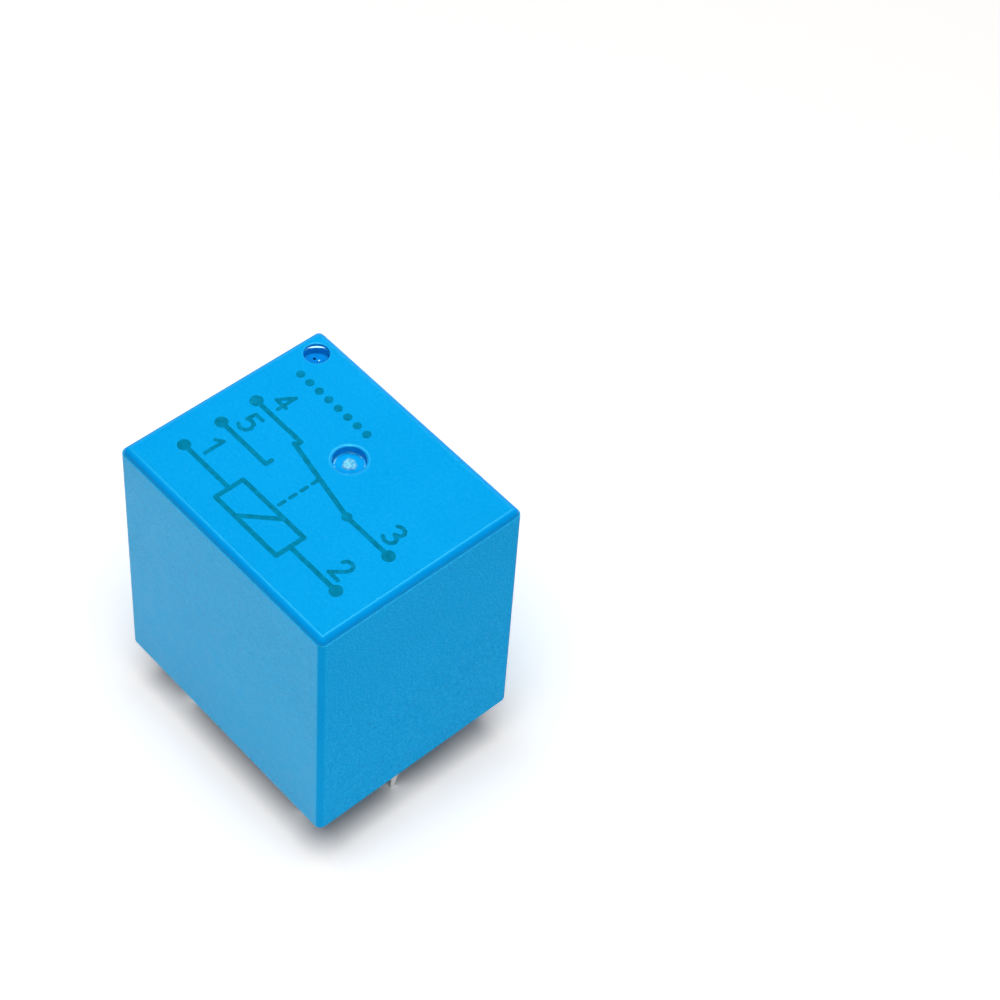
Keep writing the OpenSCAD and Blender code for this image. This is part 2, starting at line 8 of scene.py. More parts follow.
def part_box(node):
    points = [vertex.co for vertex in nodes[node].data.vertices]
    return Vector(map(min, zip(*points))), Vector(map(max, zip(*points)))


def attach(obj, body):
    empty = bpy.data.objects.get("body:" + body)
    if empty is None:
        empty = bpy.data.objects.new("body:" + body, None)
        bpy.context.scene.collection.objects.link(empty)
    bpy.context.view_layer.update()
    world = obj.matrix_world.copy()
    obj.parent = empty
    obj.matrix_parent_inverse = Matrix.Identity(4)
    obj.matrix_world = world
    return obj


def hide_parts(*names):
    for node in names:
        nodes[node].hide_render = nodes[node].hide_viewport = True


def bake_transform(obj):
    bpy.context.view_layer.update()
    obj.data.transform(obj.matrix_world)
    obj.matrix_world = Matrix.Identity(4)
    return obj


# Looks of a sealed five-pin relay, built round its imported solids. Lengths are in metres, in the frame
# of the solids, and most of them are written as millimetres times MM.
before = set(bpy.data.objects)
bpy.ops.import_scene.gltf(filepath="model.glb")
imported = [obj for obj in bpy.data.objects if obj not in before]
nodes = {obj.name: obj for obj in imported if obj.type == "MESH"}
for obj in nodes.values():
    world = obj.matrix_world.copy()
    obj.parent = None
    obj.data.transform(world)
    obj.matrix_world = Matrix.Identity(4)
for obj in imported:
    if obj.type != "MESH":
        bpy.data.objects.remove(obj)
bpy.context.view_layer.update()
MM = 0.001
BODY = "relay_body"

# Sizes taken from the solids
cover_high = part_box("cover")[1]
TOP = cover_high.z
HALF_L = cover_high.x
HALF_W = cover_high.y
PLATEAU_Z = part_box("base")[0].z
RESIN_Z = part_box("potting")[0].z
RESIN_IN_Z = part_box("potting")[1].z
PIN_TIP_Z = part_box("com_terminal")[0].z

# Sizes repeated from the part's source
WALL = 0.6 * MM
ROOF = 0.9 * MM
DRAFT = 0.13 * MM
TOP_R = 0.4 * MM
INNER_R = 0.45 * MM
LIP_R = 0.12 * MM
VENT_R = 0.9 * MM
VENT_FLOOR = TOP - 0.55 * MM
GATE_R = 1.15 * MM
GATE_FLOOR = TOP - 0.5 * MM
STUB_R = 0.475 * MM
STUB_TOP = TOP - 0.4 * MM
COIL_PINS = (Vector((6.1 * MM, 6 * MM)), Vector((6.1 * MM, -6 * MM)))
CONTACT_PINS = (Vector((-6.1 * MM, 6 * MM)), Vector((-6.1 * MM, -6 * MM)))
COM_PIN = Vector((8.1 * MM, 0))
PLATEAU_HALF = Vector((5.2 * MM, 5.4 * MM))
PLATEAU_X = -0.4 * MM
PLATEAU_CUT = 2.2 * MM

# Two places and a radius that follow the photograph, less than 0.2 mm off the source's
VENT = Vector((-HALF_L + 1.8 * MM, HALF_W - 1.79 * MM))
GATE = Vector((-0.04 * MM, 2.41 * MM))
UPRIGHT_R = 0.52 * MM

# Shaders. Most of a noise lies between these two values.
NOISE_LOW = 0.3
NOISE_HIGH = 0.7


def srgb(r, g, b):
    """Linear colour from the 0 to 255 values of a display colour."""
    def line(c):
        c /= 255
        return c / 12.92 if c <= 0.04045 else ((c + 0.055) / 1.055) ** 2.4
    return (line(r), line(g), line(b), 1.0)


class Shader:
    """A node material round one Principled shader, with short calls for what the pieces need."""

    def __init__(self, name, rough, spec=0.5, metal=0.0, tint=None):
        self.mat = bpy.data.materials.new(name)
        self.mat.use_nodes = True
        self.tree = self.mat.node_tree
        self.bsdf = self.tree.nodes["Principled BSDF"]
        self.bsdf.inputs["Roughness"].default_value = rough
        self.bsdf.inputs["Specular IOR Level"].default_value = spec
        self.bsdf.inputs["Metallic"].default_value = metal
        if tint:
            self.bsdf.inputs["Specular Tint"].default_value = (*tint, 1.0)
        self.place = self.node("ShaderNodeTexCoord").outputs["Object"]
        self.normal = None

    def node(self, kind, **values):
        made = self.tree.nodes.new(kind)
        for key, value in values.items():
            setattr(made, key, value)
        return made

    def link(self, a, b):
        self.tree.links.new(a, b)

    def combine(self, operation, a, b):
        """Two values, each a socket or a number, put through a math node."""
        made = self.node("ShaderNodeMath", operation=operation)
        for socket, value in zip(made.inputs, (a, b)):
            if isinstance(value, float):
                socket.default_value = value
            else:
                self.link(value, socket)
        return made.outputs[0]

    def noise(self, grain, detail=3.0, rough=0.55, stretch=None):
        """Noise whose spots are about grain metres across, stretched along an axis where given."""
        place = self.place
        if stretch:
            mapping = self.node("ShaderNodeMapping")
            mapping.inputs["Scale"].default_value = stretch
            self.link(place, mapping.inputs["Vector"])
            place = mapping.outputs["Vector"]
        made = self.node("ShaderNodeTexNoise")
        made.inputs["Scale"].default_value = 1.0 / grain
        made.inputs["Detail"].default_value = detail
        made.inputs["Roughness"].default_value = rough
        self.link(place, made.inputs["Vector"])
        return made.outputs["Fac"]

    def ramp(self, value, low, high, a, b):
        """Colour that runs from a to b as value goes from low to high."""
        made = self.node("ShaderNodeValToRGB")
        first, last = made.color_ramp.elements
        first.position, last.position = low, high
        first.color, last.color = a, b
        self.link(value, made.inputs["Fac"])
        return made.outputs["Color"]

    def span(self, value, low, high, a, b):
        """Number that runs from a to b as value goes from low to high."""
        made = self.node("ShaderNodeMapRange")
        for key, number in (("From Min", low), ("From Max", high), ("To Min", a), ("To Max", b)):
            made.inputs[key].default_value = number
        self.link(value, made.inputs["Value"])
        return made.outputs["Result"]

    def drift(self, grain, detail, a, b):
        """Colour that drifts between a and b, over spots about grain metres across."""
        return self.ramp(self.noise(grain, detail), NOISE_LOW, NOISE_HIGH, a, b)

    def spots(self, factor, under, colour):
        """The socket under, covered by one colour as far as factor says."""
        made = self.node("ShaderNodeMix", data_type="RGBA")
        # A mix node lists sockets for numbers first, so its colours are further down
        below, above, result = made.inputs[6], made.inputs[7], made.outputs[2]
        self.link(factor, made.inputs[0])
        self.link(under, below)
        above.default_value = colour
        return result

    def colour(self, value):
        self.link(value, self.bsdf.inputs["Base Color"])

    def gloss(self, grain, detail, a, b):
        """Lets the roughness drift between a and b."""
        value = self.span(self.noise(grain, detail), NOISE_LOW, NOISE_HIGH, a, b)
        self.link(value, self.bsdf.inputs["Roughness"])

    def bump(self, height, depth):
        """Adds a bump to those that are there."""
        made = self.node("ShaderNodeBump")
        made.inputs["Strength"].default_value = 1.0
        made.inputs["Distance"].default_value = depth
        self.link(height, made.inputs["Height"])
        if self.normal:
            self.link(self.normal, made.inputs["Normal"])
        self.normal = made.outputs["Normal"]
        self.link(self.normal, self.bsdf.inputs["Normal"])


# Blues of the cover. TOP_BLUE is the plastic's own blue, and the others are copies of it that carry painted
# light and shade
TOP_BLUE = (0, 168, 241)
# Painted light: the sides and ends are lighter copies of the top's blue, so that they read as lit
SIDE_PAINTED_LIGHT_BLUE = (0, 182, 247)
END_PAINTED_LIGHT_BLUE = (0, 175, 245)
# Painted shade: the rounded edges and corners are darker copies, so that they read as shaded
EDGE_PAINTED_SHADE_BLUE = (0, 159, 241)
CORNER_PAINTED_SHADE_BLUE = (0, 163, 234)
# Painted highlight: a pale blue that makes the fine ledge under the edge and bits round the gate's floor
# read as lit lines
LINE_PAINTED_HIGHLIGHT_BLUE = (40, 188, 250)
# Painted shade: darker blues for the recess walls, the vent's floor and the pinhole
RECESS_PAINTED_SHADE_BLUE = (0, 146, 226)
VENT_PAINTED_SHADE_BLUE = (0, 136, 220)
PINHOLE_PAINTED_SHADE_BLUE = (0, 50, 110)
DRIFT_STEP = 3
SPOT_STEP = 22
PAINTED_SHEEN_SHARE = 0.16


def shifted(blue, step):
    """Linear colour of a display colour whose values are all moved by step."""
    return srgb(*(max(0, min(255, c + step)) for c in blue))


def cover_finish(name, blue, rough, spec, tint, grain=0.2 * MM, depth=0.001 * MM, mottle=0.1):
    """Blue moulded plastic: a slow drift of colour, a fine mottle, and a spark-eroded grain. The pale spots
    of the mottle are painted sheen on the grains.
    """
    s = Shader(name, rough, spec, tint=tint)
    drift = s.drift(9 * MM, 2.0, shifted(blue, -DRIFT_STEP), shifted(blue, DRIFT_STEP))
    grains = s.noise(grain, 2.0, 0.6)
    dark = s.spots(s.span(grains, 0.5, 0.3, 0.0, mottle), drift, shifted(blue, -SPOT_STEP))
    # Painted sheen: the pale spots stand for light caught on the grains
    pale = srgb(*(c + (255 - c) * PAINTED_SHEEN_SHARE for c in blue))
    s.colour(s.spots(s.span(grains, 0.52, 0.72, 0.0, mottle), dark, pale))
    s.gloss(0.9 * MM, 3.0, rough - 0.05, rough + 0.05)
    s.bump(s.noise(3 * MM, 2.0), 0.0018 * MM)
    s.bump(s.noise(grain, 4.0, 0.65), depth)
    return s.mat


def torn_plastic_and_painted_highlight():
    """Whitened, torn plastic where the moulding gate broke off. Its pale colour is also a painted highlight
    round the gate's floor.
    """
    s = Shader("torn_plastic_and_painted_highlight", 0.6, 0.15, tint=(0.2, 0.8, 1.0))
    cracks = s.noise(0.16 * MM, 4.0, 0.7)
    s.colour(s.ramp(cracks, 0.36, 0.56, srgb(30, 164, 220), srgb(150, 232, 255)))
    s.bump(s.noise(0.09 * MM, 4.0, 0.7), 0.03 * MM)
    return s.mat


def ink():
    """Teal marking ink, thin enough for the plastic to show through, with a few bright specks."""
    s = Shader("marking_ink", 0.5, 0.03, tint=(0.0, 0.9, 1.0))
    body = s.drift(0.5 * MM, 3.0, srgb(0, 118, 150), srgb(0, 142, 190))
    wear = s.span(s.noise(0.14 * MM, 3.0, 0.7), 0.58, 0.74, 0.0, 0.6)
    worn = s.spots(wear, body, srgb(0, 158, 220))
    specks = s.span(s.noise(0.1 * MM, 2.0, 0.5), 0.7, 0.74, 0.0, 0.6)
    s.colour(s.spots(specks, worn, srgb(70, 190, 190)))
    s.bump(s.noise(0.1 * MM, 3.0), 0.004 * MM)
    return s.mat


def black_plastic():
    """Matte moulded plastic with a fine grain."""
    s = Shader("black_plastic", 0.6, 0.35)
    s.colour(s.drift(1.5 * MM, 4.0, srgb(16, 22, 25), srgb(26, 33, 36)))
    s.gloss(0.6 * MM, 3.0, 0.5, 0.68)
    s.bump(s.noise(0.13 * MM, 4.0, 0.65), 0.012 * MM)
    return s.mat


def black_resin():
    """Cast resin: glossy, with slow waves and a few dust specks."""
    s = Shader("black_resin", 0.16, 0.5)
    body = s.drift(2.5 * MM, 3.0, srgb(14, 16, 18), srgb(24, 28, 31))
    dust = s.span(s.noise(0.2 * MM, 2.0, 0.4), 0.72, 0.76, 0.0, 0.5)
    s.colour(s.spots(dust, body, srgb(90, 96, 100)))
    s.gloss(1.2 * MM, 4.0, 0.1, 0.26)
    s.bump(s.noise(2.2 * MM, 2.0), 0.06 * MM)
    s.bump(s.noise(0.35 * MM, 3.0), 0.006 * MM)
    return s.mat


def nylon():
    """Natural moulded nylon."""
    s = Shader("nylon", 0.45, 0.4)
    s.colour(s.drift(2 * MM, 3.0, srgb(226, 222, 208), srgb(240, 237, 226)))
    s.bump(s.noise(0.2 * MM, 3.0), 0.008 * MM)
    return s.mat


def metal(name, low, high, rough, grain, depth, stretch=None):
    """Metal with drawn or rolled grain, and slow changes of tone and gloss."""
    s = Shader(name, rough, 0.5, metal=1.0)
    s.colour(s.drift(1.1 * MM, 4.0, srgb(*low), srgb(*high)))
    s.gloss(0.5 * MM, 3.0, rough * 0.75, rough * 1.3)
    s.bump(s.noise(grain, 4.0, 0.6, stretch), depth)
    return s.mat


def winding():
    """Enamelled wire: fine turns laid one above the other."""
    pitch = 0.09 * MM
    wave = 6.28
    s = Shader("wire_turns", 0.3, 0.5, metal=0.85)
    bands = s.node("ShaderNodeTexWave", wave_type="BANDS", bands_direction="Z")
    bands.inputs["Scale"].default_value = 1.0 / pitch / wave
    bands.inputs["Distortion"].default_value = 1.2
    bands.inputs["Detail"].default_value = 2.0
    bands.inputs["Detail Scale"].default_value = 0.4
    s.link(s.place, bands.inputs["Vector"])
    turns = bands.outputs["Fac"]
    s.colour(s.ramp(turns, 0.1, 0.8, srgb(110, 48, 22), srgb(208, 118, 70)))
    s.bump(turns, 0.03 * MM)
    return s.mat


# Finishes of the cover, in the order of its material slots. Several carry painted light and shade in their
# blues.
COVER_FINISHES = [
    cover_finish("cover_top_finish", TOP_BLUE, 0.36, 0.02, (0.0, 0.8, 1.0),
                 grain=0.22 * MM, depth=0.0015 * MM, mottle=0.25),
    cover_finish("cover_side_painted_light", SIDE_PAINTED_LIGHT_BLUE, 0.42, 0.36, (0.4, 1.0, 1.0),
                 grain=0.13 * MM, depth=0.004 * MM, mottle=0.8),
    cover_finish("cover_end_painted_light", END_PAINTED_LIGHT_BLUE, 0.55, 0.05, (0.0, 1.0, 1.0),
                 grain=0.15 * MM, depth=0.012 * MM, mottle=0.9),
    torn_plastic_and_painted_highlight(),
    cover_finish("cover_edge_painted_shade", EDGE_PAINTED_SHADE_BLUE, 0.2, 0.1, (0.05, 0.9, 1.0)),
    cover_finish("cover_line_painted_highlight", LINE_PAINTED_HIGHLIGHT_BLUE, 0.5, 0.05, (0.2, 0.9, 1.0), depth=0.002 * MM),
    cover_finish("cover_recess_painted_shade", RECESS_PAINTED_SHADE_BLUE, 0.16, 0.35, (0.25, 0.9, 1.0)),
    cover_finish("cover_vent_painted_shade", VENT_PAINTED_SHADE_BLUE, 0.45, 0.02, (0.0, 0.8, 1.0),
                 depth=0.002 * MM, mottle=0.2),
    cover_finish("cover_pinhole_painted_shade", PINHOLE_PAINTED_SHADE_BLUE, 0.7, 0.05, (0.0, 0.9, 1.0)),
    cover_finish("cover_lip_finish", TOP_BLUE, 0.22, 0.18, (0.1, 0.9, 1.0)),
    cover_finish("cover_corner_painted_shade", CORNER_PAINTED_SHADE_BLUE, 0.45, 0.03, (0.0, 0.9, 1.0)),
    cover_finish("cover_glint_finish", TOP_BLUE, 0.12, 1.0, (0.8, 0.97, 1.0)),
]
(TOP_SLOT, SIDE_SLOT, END_SLOT, TORN_AND_HIGHLIGHT_SLOT, EDGE_SLOT, LINE_SLOT, RECESS_SLOT, VENT_SLOT, PINHOLE_SLOT,
 LIP_SLOT, CORNER_SLOT, GLINT_SLOT) = range(len(COVER_FINISHES))

# Metals
ALONG_X = (0.1, 1, 1)
ALONG_Z = (1, 1, 0.12)
SOLDER = metal("dipped_solder", (190, 193, 196), (226, 228, 229), 0.24, 0.3 * MM, 0.012 * MM)
# Painted light: a lighter, rougher copy of the solder for the pins' broad faces, so that they read as lit
SOLDER_PAINTED_LIGHTER = metal("solder_painted_lighter", (222, 223, 223), (242, 242, 242), 0.62, 0.3 * MM, 0.006 * MM)
PLATED = metal("plated_iron", (168, 168, 163), (196, 195, 190), 0.34, 0.12 * MM, 0.004 * MM)
TINNED = metal("tinned_strip", (186, 184, 178), (214, 212, 205), 0.3, 0.1 * MM, 0.004 * MM, ALONG_Z)
BRONZE = metal("bronze_strip", (196, 138, 82), (220, 166, 106), 0.3, 0.09 * MM, 0.003 * MM, ALONG_X)
SILVER = metal("contact_silver", (206, 205, 200), (232, 231, 226), 0.3, 0.2 * MM, 0.006 * MM)
COPPER = metal("copper_wire", (188, 104, 62), (214, 132, 86), 0.28, 0.08 * MM, 0.003 * MM)


# Mesh helpers
def new_piece(name, bm, mats, body=BODY, sharp_deg=40.0):
    """Object made from bm, shaded smooth except over sharp edges, riding on a body."""
    bmesh.ops.recalc_face_normals(bm, faces=bm.faces)
    mesh = bpy.data.meshes.new(name)
    bm.to_mesh(mesh)
    bm.free()
    for m in mats:
        mesh.materials.append(m)
    mesh.shade_smooth()
    mesh.set_sharp_from_angle(angle=math.radians(sharp_deg))
    obj = bpy.data.objects.new(name, mesh)
    bpy.context.scene.collection.objects.link(obj)
    if body:
        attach(obj, body)
    return obj


def add_ring(bm, points):
    return [bm.verts.new(p) for p in points]


def bridge(bm, a, b, slot=0):
    """Faces between two closed rings with equally many points."""
    made = []
    for a0, a1, b0, b1 in zip(a, a[1:] + a[:1], b, b[1:] + b[:1]):
        f = bm.faces.new((a0, a1, b1, b0))
        f.material_index = slot
        made.append(f)
    return made


def rounded_ring(half_x, half_y, r, z):
    """Closed ring of a rounded rectangle, with a point just past each end of its arcs so that
    the flat sides stay flat when shaded."""
    steps = 10
    hold = 0.02 * MM
    r = max(r, 0.004 * MM)
    points = []
    for sx, sy, start in ((1, 1, 0), (-1, 1, 90), (-1, -1, 180), (1, -1, 270)):
        centre = Vector((sx * (half_x - r), sy * (half_y - r), z))
        for k in range(steps + 1):
            a = math.radians(start + 90 * k / steps)
            out = Vector((math.cos(a), math.sin(a), 0))
            along = Vector((-math.sin(a), math.cos(a), 0))
            if k == 0:
                points.append(centre + out * r - along * hold)
            points.append(centre + out * r)
            if k == steps:
                points.append(centre + out * r + along * hold)
    return points


def circle_ring(centre, r, z, count, wobble=None):
    """Closed ring of a circle, whose radius wobbles by a share that depends on the angle."""
    points = []
    for k in range(count):
        a = 2 * math.pi * k / count
        rr = r * (1 + wobble(a)) if wobble else r
        points.append(Vector((centre.x + rr * math.cos(a), centre.y + rr * math.sin(a), z)))
    return points


def quarter(steps, first=0):
    """Sine and cosine at equal steps over a quarter turn."""
    for k in range(first, steps + 1):
        a = math.radians(90 * k / steps)
        yield math.sin(a), math.cos(a)


# Cover, with fine forms that the solid leaves out
RIM_R = 0.06 * MM
ROUND_STEPS = 4
FLAT_HOLD = 0.03 * MM
UPRIGHT_FLAT = 0.97
LIP_FALL = 0.18
MOUTH_IN = 0.04 * MM
MOUTH_DOWN = 0.05 * MM
WALL_STEP = 0.06 * MM
LEDGE_DOWN = 0.16 * MM
LEDGE_NOSE = 0.016 * MM
LEDGE_T = 0.04 * MM
LEDGE_BACK = 0.02 * MM
FOOT_R = 0.08 * MM
FOOT_STEPS = 5
FOOT_SHARE = 0.6
RECESS_POINTS = 64


def lean(z):
    """How far the drafted walls have leaned in at height z."""
    return DRAFT * z / TOP


def wall_ring(bm, z, inset=0.0, inner_r=None):
    """Ring round the drafted walls. The upright edges outside keep one radius, and those inside
    lose as much as the walls lean."""
    d = lean(z) + inset
    r = inner_r - d if inner_r else UPRIGHT_R - inset
    return add_ring(bm, rounded_ring(HALF_L - d, HALF_W - d, r, z))


def recess_profile(r, floor_z, lip, ledge):
    """Rows of radius, height, finish and share of the ledge, from the cover's top down to the floor."""
    rows = [(r + lip, TOP, LIP_SLOT, 0)]
    for k in range(1, ROUND_STEPS + 1):
        t = k / ROUND_STEPS
        rows.append((r + lip * (1 - t), TOP - LIP_FALL * lip * t ** 2, LIP_SLOT, 0))
    edge = TOP - LIP_FALL * lip
    # Painted shade: the mouth, wall and foot take the recess's darker blue
    for s, c in quarter(ROUND_STEPS, 1):
        rows.append((r - MOUTH_IN * s, edge - MOUTH_DOWN * (1 - c), RECESS_SLOT, 0))
    r -= WALL_STEP
    if ledge:
        high = TOP - LEDGE_DOWN
        rows.append((r, high, RECESS_SLOT, 0))
        rows.append((r, high - LEDGE_NOSE, GLINT_SLOT, 1))
        rows.append((r - LEDGE_BACK, high - LEDGE_T, RECESS_SLOT, 1))
        r -= 0.5 * WALL_STEP
    for k, (s, c) in enumerate(quarter(FOOT_STEPS)):
        share = FOOT_SHARE * (1 - k / FOOT_STEPS)
        rows.append((r - FOOT_R * (1 - c), floor_z + FOOT_R * (1 - s), RECESS_SLOT, share))
    return rows


def broken(i):
    """Uneven choice of the bits that are missing from a painted highlight line."""
    return math.sin(i * 0.9) + math.sin(i * 0.37) < 0.1


def recess(bm, centre, r, floor_z, lip, ledge, inner):
    """Round recess with a lip that is nearly flat at first, a steep wall and a rounded foot. A ledge
    width gives the wall a short glossy step on the side of the nearest corner. Inner is a list of
    (radius, height above the floor, wobble, shift, finish) rings that shape the floor. A first one
    that is torn is a painted highlight round the floor, broken into bits of the line's blue. Gives
    the ring where the recess meets the cover's top."""
    back = math.atan2(centre.y, centre.x)
    glint_reach = 0.55
    profile = recess_profile(r, floor_z, lip, ledge)

    def shelf(rr, share):
        """Pulls a ring in on the side of the corner, for the ledge."""
        return lambda a: -ledge * share / rr * max(0.0, math.cos(a - back)) ** 3

    rings = []
    for rr, z, _, share in profile:
        rings.append(add_ring(bm, circle_ring(centre, rr, z, RECESS_POINTS, shelf(rr, share))))
    for a, b, (_, _, slot, _) in zip(rings, rings[1:], profile[1:]):
        for i, f in enumerate(bridge(bm, a, b, slot)):
            if slot == GLINT_SLOT and math.cos(2 * math.pi * i / RECESS_POINTS - back) < glint_reach:
                f.material_index = RECESS_SLOT
    foot = rings[-1]
    last = foot
    for rr, rise, wobble, shift, slot in inner:
        middle = centre + Vector(shift)
        ring = add_ring(bm, circle_ring(middle, rr, floor_z + rise, RECESS_POINTS, wobble))
        for i, f in enumerate(bridge(bm, last, ring, slot)):
            # Painted highlight: the pale ring at the foot is broken into bits
            if last is foot and slot == TORN_AND_HIGHLIGHT_SLOT and broken(i):
                f.material_index = LINE_SLOT
        last = ring
    # The last ring is closed with a fan
    _, rise, _, shift, slot = inner[-1]
    middle = centre + Vector(shift)
    tip = bm.verts.new((middle.x, middle.y, floor_z + rise))
    for a, b in zip(last, last[1:] + last[:1]):
        bm.faces.new((a, b, tip)).material_index = slot
    return rings[0]


def dome(bm, centre, r, z, slot):
    """Low round bump that stands on a floor."""
    points = 24
    sunk = 0.02 * MM
    steps = 4
    rings = [add_ring(bm, circle_ring(centre, r, z - sunk, points))]
    for k in range(steps + 1):
        a = math.radians(80 * k / steps)
        rings.append(add_ring(bm, circle_ring(centre, r * math.cos(a), z + 0.5 * r * math.sin(a), points)))
    for a, b in zip(rings, rings[1:]):
        bridge(bm, a, b, slot)
    for ring in (rings[0], rings[-1]):
        bm.faces.new(ring).material_index = slot


def torn_edge(a):
    """Uneven outline of the torn stub."""
    return 0.06 * math.sin(3 * a + 0.6) + 0.05 * math.sin(7 * a + 2.1) + 0.03 * math.sin(13 * a)


def side_slot(face):
    """Textured finish with painted light for the flat of a side, and smooth finish with painted shade for
    the rounded corners.
    """
    face.normal_update()
    if abs(face.normal.y) > UPRIGHT_FLAT:
        return SIDE_SLOT
    return END_SLOT if abs(face.normal.x) > UPRIGHT_FLAT else CORNER_SLOT


def cover_outside(bm):
    """Outside of the cover, from the rim's underside up to the flat top. Gives its first and last ring."""
    rings = [wall_ring(bm, 0, RIM_R)]
    for s, c in quarter(ROUND_STEPS, 1):
        rings.append(wall_ring(bm, RIM_R * (1 - c), RIM_R * (1 - s)))
    rings.append(wall_ring(bm, RIM_R + FLAT_HOLD))
    # The texture of the sides ends in a fine ledge under the smooth rounded edge
    ledge = 0.1 * MM
    ledge_z = TOP - TOP_R
    half_rise = 0.02 * MM
    ease = 0.05
    rings.append(wall_ring(bm, ledge_z - half_rise - FLAT_HOLD))
    rings.append(wall_ring(bm, ledge_z - half_rise, ledge * ease))
    ledge_row = len(rings) - 1
    rings.append(wall_ring(bm, ledge_z + half_rise, ledge * (1 - ease)))
    # The edge meets the flat top at a slant, over a narrow round
    foot_z = ledge_z + 1.5 * half_rise
    slant = math.radians(70)
    narrow = 0.16 * MM
    drop = narrow * math.tan((math.radians(90) - slant) / 2)
    edge_steps = 10
    for k in range(edge_steps + 1):
        a = slant * k / edge_steps
        up = math.sin(a) / math.sin(slant)
        along = (1 - math.cos(a)) / (1 - math.cos(slant))
        rings.append(wall_ring(bm, foot_z + (TOP - drop - foot_z) * up, ledge + (TOP_R - ledge) * along))
    lip_row = len(rings) - 1
    for k in range(1, ROUND_STEPS + 1):
        t = k / ROUND_STEPS
        rings.append(wall_ring(bm, TOP - drop * (1 - t) ** 2, TOP_R + narrow * t))
    for i, (a, b) in enumerate(zip(rings, rings[1:])):
        # Painted shade: the rounded edge takes a darker blue than the top
        for f in bridge(bm, a, b, EDGE_SLOT):
            if i < ledge_row:
                f.material_index = side_slot(f)
            # Painted highlight: the fine ledge takes a paler blue, so that it reads as a lit line
            elif i == ledge_row:
                f.material_index = LINE_SLOT
            elif i >= lip_row:
                f.material_index = LIP_SLOT
    return rings[0], rings[-1]


def cover_inside(bm, rim):
    """Inside of the cover, from the rim's underside up to the roof."""
    inner_r = INNER_R + WALL
    roof_z = TOP - ROOF
    roof_step = 0.05 * MM
    rings = [rim, wall_ring(bm, 0, WALL - RIM_R, inner_r)]
    for s, c in quarter(ROUND_STEPS, 1):
        rings.append(wall_ring(bm, RIM_R * (1 - c), WALL - RIM_R * (1 - s), inner_r))
    rings.append(wall_ring(bm, roof_z - roof_step, WALL, inner_r))
    rings.append(wall_ring(bm, roof_z, WALL + roof_step, inner_r))
    for a, b in zip(rings, rings[1:]):
        bridge(bm, a, b, END_SLOT)
    bm.faces.new(rings[-1]).material_index = END_SLOT


def make_vent(bm):
    """Vent recess, with a pinhole and a low bump in its floor. Gives its ring on the cover's top."""
    off = (-0.11 * MM, -0.09 * MM)
    # Painted shade: the vent's floor and its pinhole take darker blues
    floor = [(0.3 * MM, 0.0, None, off, VENT_SLOT),
             (0.1 * MM, -0.01 * MM, None, off, VENT_SLOT),
             (0.09 * MM, -0.03 * MM, None, off, PINHOLE_SLOT),
             (0.07 * MM, -0.18 * MM, None, off, PINHOLE_SLOT)]
    ring = recess(bm, VENT, VENT_R, VENT_FLOOR, 0.5 * LIP_R, 0.16 * MM, floor)
    dome(bm, VENT + Vector((0.2 * MM, 0.03 * MM)), 0.12 * MM, VENT_FLOOR, GLINT_SLOT)
    return ring


def make_gate(bm):
    """Gate recess, with a painted highlight line round its floor and the torn stub. Gives its ring on the
    top.
    """
    mid = (0, 0)
    rise = STUB_TOP - GATE_FLOOR
    # The first ring is a painted highlight round the floor, and the stub's rings are whitened torn plastic
    floor = [(0.94 * MM, 0.0, None, mid, TORN_AND_HIGHLIGHT_SLOT),
             (0.7 * MM, 0.0, None, mid, TOP_SLOT),
             (STUB_R, 0.004 * MM, torn_edge, mid, TOP_SLOT)]
    for narrower, higher in ((0.95, 0.7), (0.82, 1.15), (0.55, 1.0), (0.28, 1.2)):
        floor.append((STUB_R * narrower, rise * higher, torn_edge, mid, TORN_AND_HIGHLIGHT_SLOT))
    return recess(bm, GATE, GATE_R, GATE_FLOOR, 1.5 * LIP_R, 0, floor)


def make_cover():
    bm = bmesh.new()
    rim, outer_top = cover_outside(bm)
    cover_inside(bm, rim)
    loops = (outer_top, make_vent(bm), make_gate(bm))
    # Flat top between the edge and the two recesses
    edges = []
    for loop in loops:
        for a, b in zip(loop, loop[1:] + loop[:1]):
            edges.append(bm.edges.get((a, b)) or bm.edges.new((a, b)))
    filled = bmesh.ops.triangle_fill(bm, use_beauty=True, use_dissolve=False, edges=edges, normal=(0, 0, 1))
    for f in filled["geom"]:
        if isinstance(f, bmesh.types.BMFace):
            f.material_index = TOP_SLOT
    cover = new_piece("cover_shell", bm, COVER_FINISHES)
    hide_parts("cover")


# Marking on the top. Its points and dots are in millimetres, and its heights and line widths in
# metres. Each stroke lies a little higher than the one before.
PRINT_Z = TOP + 0.004 * MM
PRINT_STEP = 0.0002 * MM
PRINT_SUNK = 0.01 * MM
LINE_W = 0.34 * MM
DIGIT_W = 0.27 * MM
DIGIT_H = 1.5
PIN_DOT_R = 0.46
HINGE_DOT_R = 0.36
TALLY_R = 0.3
TALLY_COUNT = 8
TALLY_PITCH = 0.95
TALLY_Y = 4.6
LEFT_X = -7.6
RIGHT_X = 7.4
COIL_Y = -4.9
COIL_LOW = -6.0
COIL_HIGH = -3.8
COIL_HALF = 3.0
SLASH_HALF = 1.1
COM_Y = -0.7
HINGE_X = 3.4
CLOSED_Y = 0.95
OPEN_Y = -1.9
CONTACT_X = -3.1
CLOSED_TIP_Y = 0.62
OPEN_TIP_Y = -1.45
ARM_TIP = (-3.3, 0.55)
DASH = 0.45
DASH_COUNT = 4
DASH_W = 0.8 * LINE_W
LEFT_DIGIT_X = -6.9
RIGHT_DIGIT_X = 5.9
DIGIT_GAP = 0.6
